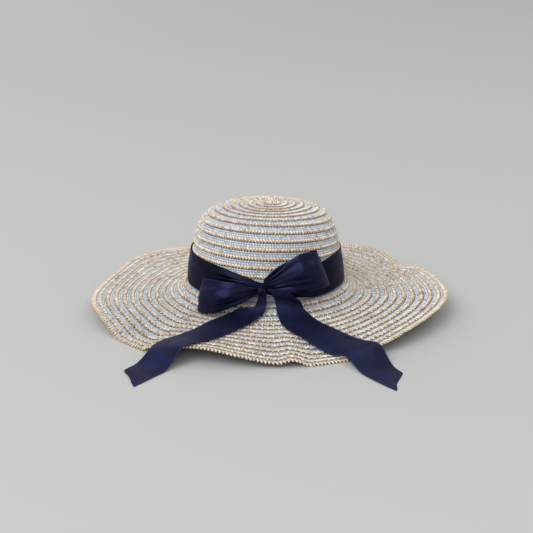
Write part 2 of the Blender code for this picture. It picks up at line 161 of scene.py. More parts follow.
def straw_base(name, strips, weld):
    """Joins strips into one skin, with the values that the lapping and the straw's colours follow."""
    mesh = bpy.data.meshes.new(name)
    points, faces = [], []
    for strip in strips:
        start = sum(len(part) for part in points)
        points.append(strip[0])
        faces += [tuple(index + start for index in face) for face in strip[1]]
    mesh.from_pydata(np.concatenate(points), [], faces)
    for label, column, kind in (("outward", 2, "FLOAT_VECTOR"), ("lap", 3, "FLOAT"),
                                ("turns", 4, "FLOAT"), ("lining", 5, "FLOAT")):
        layer = mesh.attributes.new(label, kind, "POINT")
        values = np.concatenate([strip[column] for strip in strips]).astype(np.float32)
        layer.data.foreach_set("vector" if column == 2 else "value", values.ravel())
    shape = bmesh.new()
    shape.from_mesh(mesh)
    lined = shape.verts.layers.float["lining"]
    inner = [vert for vert in shape.verts if vert[lined] > 0.5]
    outer = [vert for vert in shape.verts if vert[lined] < 0.5]
    bmesh.ops.remove_doubles(shape, verts=inner, dist=weld)
    bmesh.ops.remove_doubles(shape, verts=outer, dist=weld)
    loose = [vert for vert in shape.verts if not vert.link_faces]
    bmesh.ops.delete(shape, geom=loose, context="VERTS")
    shape.to_mesh(mesh)
    shape.free()
    piece = bpy.data.objects.new(name, mesh)
    bpy.context.collection.objects.link(piece)
    return piece


def new_tree(name, sizes):
    """A node tree for geometry, with the sizes as its named inputs."""
    tree = bpy.data.node_groups.new(name, "GeometryNodeTree")
    tree.interface.new_socket("Geometry", in_out="INPUT", socket_type="NodeSocketGeometry")
    for label, kind in sizes:
        tree.interface.new_socket(label, in_out="INPUT", socket_type="NodeSocket" + kind)
    tree.interface.new_socket("Geometry", in_out="OUTPUT", socket_type="NodeSocketGeometry")
    return tree, tree.nodes.new("NodeGroupInput"), tree.nodes.new("NodeGroupOutput")


def add(tree, kind, inputs=(), **settings):
    """A node with its settings, and its inputs set or linked by name or number."""
    node = tree.nodes.new(kind)
    for label, value in settings.items():
        setattr(node, label, value)
    for label, value in dict(inputs).items():
        if isinstance(value, bpy.types.NodeSocket):
            tree.links.new(value, node.inputs[label])
        else:
            node.inputs[label].default_value = value
    return node


def named(tree, label, kind="FLOAT"):
    return add(tree, "GeometryNodeInputNamedAttribute", {"Name": label}, data_type=kind).outputs[0]


def grow(piece, tree, sizes):
    """Runs a tree on a piece with its sizes, and keeps what it makes as the piece's own mesh."""
    modifier = piece.modifiers.new(tree.name, "NODES")
    modifier.node_group = tree
    for item in tree.interface.items_tree:
        if item.in_out == "INPUT" and item.name in sizes:
            modifier[item.identifier] = sizes[item.name]
    bpy.context.view_layer.update()
    ready = piece.evaluated_get(bpy.context.evaluated_depsgraph_get())
    mesh = bpy.data.meshes.new_from_object(ready)
    piece.modifiers.clear()
    old = piece.data
    piece.data = mesh
    bpy.data.meshes.remove(old)
    mesh.name = piece.name
    return piece


# The laps. Each turn of the real tape is sewn on over the turn outside it, so here each row stands
# proud at its cord and dips under the turn above it.
lapping, given, made = new_tree("lapped_rows", (("Lap depth", "Float"), ("Wall", "Float"),
                                                ("Material", "Material")))
rise = add(lapping, "ShaderNodeFloatCurve", {"Value": named(lapping, "lap")})
curve = rise.mapping.curves[0]
for place, height in ((0.16, 0.16), (0.5, 0.42), (0.62, 0.5), (0.7, 0.85), (0.9, 0.85)):
    curve.points.new(place, height)
curve.points[0].location = (0, 0)
curve.points[-1].location = (1, 0.0)
rise.mapping.update()
lowered = add(lapping, "ShaderNodeMath", {0: rise.outputs[0], 1: 1.0}, operation="SUBTRACT")
depth = add(lapping, "ShaderNodeMath", {0: lowered.outputs[0], 1: given.outputs["Lap depth"]},
            operation="MULTIPLY")
wall = add(lapping, "ShaderNodeMath", {0: named(lapping, "lining"), 1: given.outputs["Wall"]},
           operation="MULTIPLY")
total = add(lapping, "ShaderNodeMath", {0: depth.outputs[0], 1: wall.outputs[0]}, operation="SUBTRACT")
move = add(lapping, "ShaderNodeVectorMath", {0: named(lapping, "outward", "FLOAT_VECTOR"),
                                             "Scale": total.outputs[0]}, operation="SCALE")
lapped = add(lapping, "GeometryNodeSetPosition", {"Geometry": given.outputs["Geometry"],
                                                  "Offset": move.outputs[0]})
reached = add(lapping, "ShaderNodeSeparateXYZ", {0: add(lapping, "GeometryNodeInputPosition").outputs[0]})
above = add(lapping, "ShaderNodeMath", {0: reached.outputs["Z"], 1: 0.0}, operation="MAXIMUM")
seated = add(lapping, "ShaderNodeCombineXYZ", {"X": reached.outputs["X"], "Y": reached.outputs["Y"],
                                               "Z": above.outputs[0]})
on_floor = add(lapping, "GeometryNodeSetPosition", {"Geometry": lapped.outputs[0],
                                                    "Position": seated.outputs[0]})
rounded = add(lapping, "GeometryNodeSetShadeSmooth", {"Geometry": on_floor.outputs[0]})
real = add(lapping, "GeometryNodeRealizeInstances", {"Geometry": rounded.outputs[0]})
finished = add(lapping, "GeometryNodeSetMaterial", {"Geometry": real.outputs[0],
                                                    "Material": given.outputs["Material"]})
lapping.links.new(finished.outputs[0], made.inputs[0])


# The straw's colours. The real plaits are paper straw, dyed pale blue in parts and left white in others,
# and the cord is tan to cream; the straw between the stitches is painted darker as shade, and a dark line
# under each lap is painted shadow.
def colour(hexes):
    """Linear colour from the eight bit one that a swatch shows."""
    shares = [value / 255 for value in hexes]
    return tuple(s / 12.92 if s <= 0.04045 else ((s + 0.055) / 1.055) ** 2.4 for s in shares) + (1.0,)


def new_finish(name, roughness, **sockets):
    material = bpy.data.materials.new(name)
    material.use_nodes = True
    tree = material.node_tree
    shader = tree.nodes["Principled BSDF"]
    shader.inputs["Roughness"].default_value = roughness
    for label, value in sockets.items():
        shader.inputs[label.replace("_", " ")].default_value = value
    return material, tree, shader


def ramp(tree, value, stops, interpolation="LINEAR"):
    """A colour ramp with its stops as (place, colour)."""
    node = add(tree, "ShaderNodeValToRGB", {"Fac": value})
    node.color_ramp.interpolation = interpolation
    while len(node.color_ramp.elements) < len(stops):
        node.color_ramp.elements.new(1.0)
    for element, (place, shade) in zip(node.color_ramp.elements, stops):
        element.position = place
        element.color = shade
    return node.outputs["Color"]


def attribute(tree, label, output="Fac"):
    return add(tree, "ShaderNodeAttribute", attribute_name=label).outputs[output]


def multiplied(tree, base, shade):
    mix = add(tree, "ShaderNodeMix", {0: 1.0}, data_type="RGBA", blend_type="MULTIPLY")
    tree.links.new(base, mix.inputs[6])
    tree.links.new(shade, mix.inputs[7])
    return mix.outputs[2]


def fibre_bump(tree, shader, scale, strength, stretch):
    """Fine fibres along each straw, from its own UV map."""
    uv = add(tree, "ShaderNodeUVMap", uv_map="straw")
    stretched = add(tree, "ShaderNodeMapping", {"Vector": uv.outputs[0], "Scale": (1.0, stretch, 1.0)})
    noise = add(tree, "ShaderNodeTexNoise", {"Vector": stretched.outputs[0], "Scale": scale, "Detail": 3.0})
    bump = add(tree, "ShaderNodeBump", {"Height": noise.outputs[0], "Strength": strength, "Distance": 0.0003})
    tree.links.new(bump.outputs[0], shader.inputs["Normal"])
    return noise.outputs[0]


def shaded_straw_ground(name, plait, cord, lap_shadow):
    """What shows between the stitches: the plaits' straw and the cord's core, darker than their stitches as painted
    shade, and painted shadow in the groove between the plaits and under each lap.
    """
    material, tree, shader = new_finish(name, 0.9)
    lap = attribute(tree, "lap")
    plait_groove_shade = tuple(0.45 * a + 0.55 * b for a, b in zip(plait, lap_shadow))
    # The ramp paints shade across the tape: a dark shadow line under each lap and a dimmer line in the groove
    # between the two plaits.
    base = ramp(tree, lap, ((0.0, lap_shadow), (0.05, lap_shadow), (0.10, plait), (0.24, plait), (0.30, plait_groove_shade), (0.36, plait),
                            (0.53, plait), (0.58, cord), (0.85, cord), (0.90, lap_shadow)))
    coords = add(tree, "ShaderNodeTexCoord")
    noise = add(tree, "ShaderNodeTexNoise", {"Vector": coords.outputs["Object"], "Scale": 420.0, "Detail": 4.0})
    shade = ramp(tree, noise.outputs[0], ((0.35, (0.78, 0.78, 0.78, 1)), (0.65, (1.1, 1.1, 1.1, 1))))
    tree.links.new(multiplied(tree, base, shade), shader.inputs["Base Color"])
    return material


TAN = colour((212, 189, 158))
CREAM = colour((234, 222, 202))
BROWN = colour((178, 149, 118))
PALE_BLUE = colour((211, 221, 229))
WHITE = colour((240, 241, 241))
SLATE = colour((160, 172, 192))
# The dark colour of the laps is painted shadow, where each cord's lap shades the row under it.
LAP_SHADOW = colour((82, 80, 96))

# The crown's ground colours for plait and cord are darker than the stitches' own: painted shade between them.
crown_ground = shaded_straw_ground("crown_straw", colour((162, 176, 192)), colour((196, 162, 130)), LAP_SHADOW)

crown_span = (-1.0, CROWN_ROWS + 1)
crown_ends = (0.0, CROWN_REACH)
CROWN_STEPS = 132
WELD = 0.05
crown_skin = straw_base("crown_skin", [
    tape_strip(crown_row, crown_surface, crown_outward, crown_span, CROWN_STEPS, stations, lined, crown_ends)
    for stations, lined in ((TOP_STATIONS, 0), (LINING_STATIONS, 1))], WELD * MM)
grow(crown_skin, lapping, {"Lap depth": LAP_DEPTH * MM, "Wall": STRAW_WALL * MM, "Material": crown_ground})


GUIDE_STEPS = 400


def guide(name, row, surface, normals, turns, share, stand, limits):
    """The path of one line of stitches along the spiral, with the straw's outward side at each point."""
    along = np.arange(turns[0], turns[1], 1 / GUIDE_STEPS)
    reach, azimuth = row(along, share)
    kept = (reach > limits[0]) & (reach < limits[1])
    first = np.argmax(kept)
    last = len(kept) - np.argmax(kept[::-1])
    reach, azimuth = np.clip(reach[first:last], *limits), azimuth[first:last]
    normal = normals(reach, azimuth)
    points = surface(reach, azimuth) + normal * stand * MM
    mesh = bpy.data.meshes.new(name)
    mesh.from_pydata(points, [(i, i + 1) for i in range(len(points) - 1)], [])
    layer = mesh.attributes.new("outward", "FLOAT_VECTOR", "POINT")
    layer.data.foreach_set("vector", normal.astype(np.float32).ravel())
    piece = bpy.data.objects.new(name, mesh)
    bpy.context.collection.objects.link(piece)
    return piece


# The stitches. The real cord is twisted and the plaits are flat braids, so that every straw shows as a
# short slanting grain. One is laid at each step along a path, leaning from it, flat on the outer side.
sewing, given, made = new_tree("sewn_stitches", (
    ("Stitch", "Object"), ("Spacing", "Float"), ("Lean", "Float"), ("Waver", "Float"),
    ("Seed", "Int"), ("Material", "Material")))
path = add(sewing, "GeometryNodeMeshToCurve", {"Mesh": given.outputs["Geometry"]})
path = add(sewing, "GeometryNodeResampleCurve", {"Curve": path.outputs[0], "Length": given.outputs["Spacing"]},
           mode="LENGTH")
upright = add(sewing, "FunctionNodeAlignRotationToVector",
              {"Vector": named(sewing, "outward", "FLOAT_VECTOR")}, axis="Z")
onward = add(sewing, "FunctionNodeAlignRotationToVector",
             {"Rotation": upright.outputs[0], "Vector": add(sewing, "GeometryNodeInputTangent").outputs[0]},
             axis="X", pivot_axis="Z")
waver = add(sewing, "FunctionNodeRandomValue", {"Seed": given.outputs["Seed"]}, data_type="FLOAT")
less = add(sewing, "ShaderNodeMath", {0: waver.outputs[1], 1: 0.5}, operation="SUBTRACT")
swing = add(sewing, "ShaderNodeMath", {0: less.outputs[0], 1: given.outputs["Waver"]}, operation="MULTIPLY")
swing = add(sewing, "ShaderNodeMath", {0: swing.outputs[0], 1: given.outputs["Lean"]}, operation="ADD")
turned = add(sewing, "FunctionNodeRotateRotation", {
    "Rotation": onward.outputs[0],
    "Rotate By": add(sewing, "ShaderNodeCombineXYZ", {"Z": swing.outputs[0]}).outputs[0]},
    rotation_space="LOCAL")
stitch = add(sewing, "GeometryNodeObjectInfo", {"Object": given.outputs["Stitch"]})
seed = add(sewing, "ShaderNodeMath", {0: given.outputs["Seed"], 1: 7.0}, operation="ADD")
girth = add(sewing, "FunctionNodeRandomValue", {"Seed": given.outputs["Seed"], 0: (0.82, 0.78, 0.85),
                                                1: (1.16, 1.18, 1.25)}, data_type="FLOAT_VECTOR")
sewn = add(sewing, "GeometryNodeInstanceOnPoints", {
    "Points": path.outputs[0], "Instance": stitch.outputs["Geometry"], "Rotation": turned.outputs[0],
    "Scale": girth.outputs[0]})
tone = add(sewing, "FunctionNodeRandomValue", {"Seed": seed.outputs[0]}, data_type="FLOAT")
toned = add(sewing, "GeometryNodeStoreNamedAttribute",
            {"Geometry": sewn.outputs[0], "Name": "tone", "Value": tone.outputs[1]}, domain="INSTANCE")
real = add(sewing, "GeometryNodeRealizeInstances", {"Geometry": toned.outputs[0]})
finished = add(sewing, "GeometryNodeSetMaterial", {"Geometry": real.outputs[0],
                                                   "Material": given.outputs["Material"]})
sewing.links.new(finished.outputs[0], made.inputs[0])


def straw_stitch(name, length, width, height, rings, sides, curl):
    """One straw of a cord or plait, a few faces long, lying along X and swelling in its middle."""
    length, width, height, curl = (MM * size for size in (length, width, height, curl))
    shape = bmesh.new()
    grid = []
    for i in range(rings):
        u = (i + 0.5) / rings
        swell = math.sqrt(1 - (2 * u - 1) ** 2 * 0.86)
        ring = []
        for k in range(sides):
            turn = math.tau * (k + 0.5) / sides
            ring.append(shape.verts.new((
                (2 * u - 1) * length / 2,
                math.cos(turn) * width / 2 * swell + curl * math.sin((2 * u - 1) * math.pi),
                math.sin(turn) * height / 2 * swell,
            )))
        grid.append(ring)
    for first, second in zip(grid, grid[1:]):
        for k in range(sides):
            shape.faces.new((first[k], first[(k + 1) % sides], second[(k + 1) % sides], second[k]))
    shape.faces.new(grid[0][::-1])
    shape.faces.new(grid[-1])
    bmesh.ops.recalc_face_normals(shape, faces=shape.faces)
    straw = shape.loops.layers.uv.new("straw")
    for face in shape.faces:
        face.smooth = True
        for loop in face.loops:
            co = loop.vert.co
            loop[straw].uv = (co.x / length + 0.5, math.atan2(co.z, co.y) / math.tau + 0.5)
    mesh = bpy.data.meshes.new(name)
    shape.to_mesh(mesh)
    shape.free()
    piece = bpy.data.objects.new(name, mesh)
    bpy.context.collection.objects.link(piece)
    return piece


DYE_DRIFT = 0.8


def straw_finish(name, light, dark, drift_by=DYE_DRIFT):
    """Dyed straw: a light end and a darker one on each stitch, each with its own run of tones."""
    material, tree, shader = new_finish(name, 0.75)
    coords = add(tree, "ShaderNodeTexCoord")
    patch = add(tree, "ShaderNodeTexNoise", {"Vector": coords.outputs["Object"], "Scale": 34.0, "Detail": 2.0})
    drift = add(tree, "ShaderNodeMath", {0: patch.outputs[0], 1: 0.5}, operation="SUBTRACT")
    tone = add(tree, "ShaderNodeMath", {0: drift.outputs[0], 1: drift_by, 2: attribute(tree, "tone")},
               operation="MULTIPLY_ADD").outputs[0]
    along = add(tree, "ShaderNodeSeparateXYZ", {0: add(tree, "ShaderNodeUVMap", uv_map="straw").outputs[0]})
    part = add(tree, "ShaderNodeMapRange", {"Value": along.outputs["X"], 1: 0.42, 2: 0.80},
               interpolation_type="SMOOTHSTEP")
    base = add(tree, "ShaderNodeMix", {0: part.outputs[0]}, data_type="RGBA")
    tree.links.new(ramp(tree, tone, light), base.inputs[6])
    tree.links.new(ramp(tree, tone, dark), base.inputs[7])
    fibre = fibre_bump(tree, shader, 9.0, 0.5, 3.0)
    shade = ramp(tree, fibre, ((0.3, (0.86, 0.86, 0.86, 1)), (0.7, (1.05, 1.05, 1.05, 1))))
    tree.links.new(multiplied(tree, base.outputs[2], shade), shader.inputs["Base Color"])
    return material


cord_straw = straw_finish("cord_straw", ((0.0, TAN), (0.16, TAN), (0.24, CREAM), (0.62, CREAM), (0.68, WHITE),
                                         (1.0, WHITE)),
                          ((0.0, BROWN), (0.26, BROWN), (0.38, TAN), (0.80, TAN), (1.0, CREAM)))
tooth_straw = straw_finish("tooth_straw", ((0.0, TAN), (0.5, TAN), (0.8, CREAM), (1.0, CREAM)),
                           ((0.0, BROWN), (0.3, BROWN), (0.6, TAN), (1.0, TAN)))
brim_straw = straw_finish("brim_cord_straw", ((0.0, BROWN), (0.08, TAN), (0.32, TAN), (0.40, CREAM), (0.85, CREAM),
                                              (0.9, WHITE)),
                          ((0.0, BROWN), (0.12, BROWN), (0.22, TAN), (0.66, TAN), (0.78, CREAM), (1.0, CREAM)))
plait_straw = straw_finish("plait_straw", ((0.0, SLATE), (0.06, SLATE), (0.12, PALE_BLUE), (0.45, PALE_BLUE),
                                           (0.5, WHITE), (1.0, WHITE)),
                           ((0.0, SLATE), (0.15, SLATE), (0.25, PALE_BLUE), (0.7, PALE_BLUE), (0.75, WHITE)), 0.5)

CORD_TWIST = 3.6
PLAIT_STEP = 3.1
TOOTH_STEP = 3.7
TOOTH_PLACE = 0.93
TOOTH_STAND = 0.15
cord_stitch = straw_stitch("cord_stitch", 4.6, 2.1, 1.9, 4, 5, 0.15)
plait_stitch = straw_stitch("plait_stitch", 3.3, 1.5, 1.1, 3, 4, 0.0)
tooth_stitch = straw_stitch("tooth_stitch", 3.0, 1.7, 1.6, 3, 5, 0.0)


STITCH_WAVER = 26


def sew(name, row, surface, normals, turns, limits, share, stand, stitch, spacing, lean, seed, finish):
    """One line of stitches: share and stand say where it runs, the rest what is sewn there."""
    piece = guide(name, row, surface, normals, turns, share, stand, limits)
    return grow(piece, sewing, {
        "Stitch": stitch, "Spacing": spacing * MM, "Lean": math.radians(lean),
        "Waver": math.radians(STITCH_WAVER), "Seed": seed, "Material": finish})


crown_limits = (0.6, CROWN_REACH - 5.0)
crown_lines = (
    # name, share across the tape, stand, stitch, spacing, lean, seed, finish
    ("crown_cord", CORD_PLACE, CORD_STAND, cord_stitch, CORD_TWIST, -50, 3, cord_straw),
    ("crown_teeth", TOOTH_PLACE, TOOTH_STAND, tooth_stitch, TOOTH_STEP, -76, 5, tooth_straw),
    ("crown_plait_upper", PLAIT_PLACES[0], PLAIT_STAND[0], plait_stitch, PLAIT_STEP, 48, 11, plait_straw),
    ("crown_plait_lower", PLAIT_PLACES[1], PLAIT_STAND[1], plait_stitch, PLAIT_STEP, -48, 12, plait_straw),
)
crown_stitching = [sew(name, crown_row, crown_surface, crown_outward, crown_span, crown_limits, *line)
                   for name, *line in crown_lines]
for piece in (crown_skin, *crown_stitching):
    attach(piece, "root")
    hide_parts("crown")

# The brim. The same tape goes on round the crown's foot and outwards, eased so that the brim flares
# and then falls in soft waves; the real one lies on the floor where its edge dips lowest.
BRIM_WIDTH = 116
WAVE_RISE = 22
BRIM_ROWS = 13
BRIM_TWIST = 3.8
BRIM_PLAITS = (0.20, 0.42)
PICOT_STEP = 6.2
PICOT_PLACE = 0.97
EDGE_STEP = 4.1
EDGE_PLACE = 0.99
EDGE_STAND = -0.6
JOG = (60, 120)

brim_fall = np.array((
    # out, height
    (0.00, 1.00), (0.05, 0.88), (0.10, 0.73), (0.15, 0.60), (0.20, 0.53), (0.30, 0.45), (0.50, 0.33),
    (0.75, 0.16), (1.00, 0.00),
))
edge_waves = np.array((
    # azimuth, lift
    (0, 0.91), (22, 0.82), (33, 0.45), (45, 0.91), (60, 0.86), (75, 0.36), (83, -0.22), (92, -0.22),
    (101, 0.14), (112, 0.55), (143, 0.84), (158, 0.45), (173, 0.36), (196, 0.59), (209, 0.41),
    (220, -0.21), (227, -0.21), (231, 0.14), (238, 0.45), (251, 0.73), (262, 0.50), (273, 0.16),
    (278, 0.30), (285, -0.21), (292, -0.21), (297, 0.18), (304, 0.36), (320, 0.77), (345, 0.95),
))
edge_reach = np.array((
    # azimuth, reach
    (0, 1.035), (20, 1.01), (60, 1.02), (90, 1.03), (130, 1.01), (180, 0.99), (223, 1.00), (270, 1.03),
    (300, 1.02), (330, 1.02), (350, 1.055),
))


row_places = np.array((
    # share of the rows, out
    (0.0, 0.00), (0.14, 0.12), (0.30, 0.275), (0.45, 0.43), (0.60, 0.595), (0.75, 0.76), (0.90, 0.92),
    (1.0, 1.00), (1.2, 1.20),
))


def smooth_round(table, azimuth):
    """A table of azimuths, closed on itself, read at an azimuth."""
    turns = np.concatenate((table[-2:, 0] - 360, table[:, 0], table[:2, 0] + 360))
    values = np.concatenate((table[-2:, 1], table[:, 1], table[:2, 1]))
    return smooth(turns, values, np.mod(azimuth, 360))


def foot_radius(azimuth):
    angle = np.radians(azimuth)
    return HEAD_HALF_WIDTH * HEAD_HALF_DEPTH / np.hypot(
        HEAD_HALF_DEPTH * np.cos(angle), HEAD_HALF_WIDTH * np.sin(angle))


def brim_surface(out, azimuth):
    """Points at a share out of the brim's width."""
    out = np.clip(out, 0, 1)
    angle = np.radians(azimuth)
    radius = foot_radius(azimuth) + BRIM_WIDTH * smooth_round(edge_reach, azimuth) * out
    height = STRAW_WALL + (FOOT_HEIGHT - STRAW_WALL) * smooth(brim_fall[:, 0], brim_fall[:, 1], out)
    height = np.maximum(height + WAVE_RISE * smooth_round(edge_waves, azimuth) * out**2, STRAW_WALL)
    return MM * np.stack((CROWN_MIDDLE[0] + radius * np.cos(angle),
                          CROWN_MIDDLE[1] + radius * np.sin(angle), height), -1)


def brim_outward(out, azimuth):
    return outward(brim_surface, out, azimuth, 0.01, 0.99, 0.008)


def brim_row(turns, share):
    """The spiral's turns are level and each steps out by a row between two azimuths at the back."""
    part = np.mod(turns, 1)
    step = np.clip((part * 360 - JOG[0]) / (JOG[1] - JOG[0]), 0, 1)
    step = 3 * step**2 - 2 * step**3
    place = (np.floor(turns) + step + share - 1) / BRIM_ROWS
    return np.clip(smooth(row_places[:, 0], row_places[:, 1], place), 0, 1), 360 * part


# The brim's ground: plait and cord colours darker than the stitches' and a near black lap, all painted shade.
brim_ground = shaded_straw_ground("brim_straw", colour((158, 168, 182)), colour((198, 168, 138)), colour((50, 45, 50)))
brim_span = (0.0, BRIM_ROWS + 2)
BRIM_STEPS = 240
brim_skin = straw_base("brim_skin", [
    tape_strip(brim_row, brim_surface, brim_outward, brim_span, BRIM_STEPS, stations, lined, (0.0, 1.0))
    for stations, lined in ((TOP_STATIONS, 0), (LINING_STATIONS, 1))], WELD * MM)
grow(brim_skin, lapping, {"Lap depth": LAP_DEPTH * MM, "Wall": STRAW_WALL * MM, "Material": brim_ground})
brim_limits = (0.022, 0.955)
brim_grain = straw_stitch("brim_grain", 5.3, 2.4, 1.9, 4, 5, 0.15)
picot_grain = straw_stitch("picot_grain", 2.8, 2.0, 1.4, 3, 5, 0.0)
edge_grain = straw_stitch("edge_grain", 7.6, 2.2, 2.4, 4, 6, 0.2)
edge_straw = straw_finish("edge_straw", ((0.0, TAN), (0.2, CREAM), (1.0, CREAM)),
                          ((0.0, TAN), (0.5, TAN), (1.0, CREAM)))


def edge_ring(turns, share):
    """One closed turn along the brim's edge."""
    return np.full(np.shape(turns), share), 360 * (turns % 1)


spiral = (brim_row, brim_surface, brim_outward, brim_span, brim_limits)
rim = (edge_ring, brim_surface, brim_outward, (0, 1), (0.0, 1.0))
brim_lines = (
    # name, path, share across the tape, stand, stitch, spacing, lean, seed, finish
    ("brim_cord", spiral, CORD_PLACE, CORD_STAND, brim_grain, BRIM_TWIST, -42, 23, brim_straw),
    ("brim_picots", spiral, PICOT_PLACE, 0.0, picot_grain, PICOT_STEP, -78, 27, brim_straw),
    ("brim_edge", rim, EDGE_PLACE, EDGE_STAND, edge_grain, EDGE_STEP, -76, 29, edge_straw),
    ("brim_plait_upper", spiral, BRIM_PLAITS[0], PLAIT_STAND[0], plait_stitch, PLAIT_STEP, 44, 31, plait_straw),
    ("brim_plait_lower", spiral, BRIM_PLAITS[1], PLAIT_STAND[1], plait_stitch, PLAIT_STEP, -44, 32, plait_straw),
)
brim_stitching = [sew(name, *path, *line) for name, path, *line in brim_lines]
for piece in (brim_skin, *brim_stitching):
    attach(piece, "root")
    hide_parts("brim")
for stitch_piece in (cord_stitch, plait_stitch, tooth_stitch, brim_grain, picot_grain, edge_grain):
    bpy.data.objects.remove(stitch_piece, do_unlink=True)

# The ribbon's satin. The real one is polyester satin, 41 mm wide, woven with smooth threads that run
# along it, so that it shines across its folds and stays dark in them; its edges are woven, not cut.
# The threads and crinkles are in repeats for each metre, along the ribbon and across it.
RIBBON_WIDTH = 41
RIBBON_WALL = 0.5
THREADS = (90.0, 2600.0, 1.0)
THREAD_RELIEF = 0.1
CRINKLES = (22.0, 46.0, 1.0)
# Width of the paler edge band, partly the woven selvedge and partly a painted highlight.
SELVEDGE_AND_HIGHLIGHT = (1.3, 0.6)


def satin(name, shade, lit, roughness, metallic, crinkle):
    """Dark satin with its threads along the ribbon, fine crinkles and a blue shine; its colour wanders at random
    between a shade and a lit tone, painted sheen, and its edges are paler, partly woven and partly a painted
    highlight.
    """
    material, tree, shader = new_finish(name, roughness, Metallic=metallic, Specular_IOR_Level=metallic / 2)
    shader.inputs["Specular Tint"].default_value = (0.25, 0.28, 0.6, 1)
    coords = add(tree, "ShaderNodeTexCoord")
    # Noise in space paints patches of sheen: the base wanders between the shade and the lit colour.
    painted_sheen_patches = add(tree, "ShaderNodeTexNoise", {"Vector": coords.outputs["Object"], "Scale": 38.0, "Detail": 2.0})
    uv = add(tree, "ShaderNodeUVMap", uv_map="weave")
    threads = add(tree, "ShaderNodeMapping", {"Vector": uv.outputs[0], "Scale": THREADS})
    thread = add(tree, "ShaderNodeTexNoise", {"Vector": threads.outputs[0], "Scale": 1.0, "Detail": 2.0})
    mixed = add(tree, "ShaderNodeMath", {0: painted_sheen_patches.outputs[0], 1: thread.outputs[0]}, operation="ADD")
    half = add(tree, "ShaderNodeMath", {0: mixed.outputs[0], 1: 0.5}, operation="MULTIPLY")
    base = ramp(tree, half.outputs[0], ((0.36, shade), (0.64, lit)))
    across = add(tree, "ShaderNodeSeparateXYZ", {0: uv.outputs[0]})
    middle = add(tree, "ShaderNodeMath", {0: across.outputs["Y"], 1: RIBBON_WIDTH * MM / 2}, operation="SUBTRACT")
    out = add(tree, "ShaderNodeMath", {0: middle.outputs[0]}, operation="ABSOLUTE")
    edge = add(tree, "ShaderNodeMapRange", {
        "Value": out.outputs[0], 1: (RIBBON_WIDTH / 2 - SELVEDGE_AND_HIGHLIGHT[0]) * MM,
        2: (RIBBON_WIDTH / 2 - SELVEDGE_AND_HIGHLIGHT[1]) * MM})
    # The paler edge colour is partly the woven selvedge and partly a painted highlight along the edges.
    mix = add(tree, "ShaderNodeMix", {0: edge.outputs[0]}, data_type="RGBA")
    tree.links.new(base, mix.inputs[6])
    mix.inputs[7].default_value = tuple(1.3 * value for value in lit[:3]) + (1.0,)
    tree.links.new(mix.outputs[2], shader.inputs["Base Color"])
    drawn = add(tree, "ShaderNodeMapping", {"Vector": uv.outputs[0], "Scale": CRINKLES})
    pulled = add(tree, "ShaderNodeTexNoise", {"Vector": drawn.outputs[0], "Scale": 1.0, "Detail": 1.5,
                                              "Distortion": 0.6})
    creased = add(tree, "ShaderNodeBump", {"Height": pulled.outputs[0], "Strength": 1.0, "Distance": crinkle * MM})
    bump = add(tree, "ShaderNodeBump", {"Height": thread.outputs[0], "Strength": 0.15,
                                        "Distance": THREAD_RELIEF * MM, "Normal": creased.outputs[0]})
    tree.links.new(bump.outputs[0], shader.inputs["Normal"])
    return material


# The band, bow and tails are one satin ribbon; the band's colours are darker, painted shade, and the tails'
# lighter, painted light.
band_satin = satin("band_satin", colour((15, 16, 27)), colour((21, 22, 37)), 0.36, 0.6, 2.4)
bow_satin = satin("bow_satin", colour((20, 21, 40)), colour((31, 33, 59)), 0.34, 0.6, 6.0)
tail_satin = satin("tail_satin", colour((22, 23, 42)), colour((37, 41, 74)), 0.44, 0.42, 1.0)


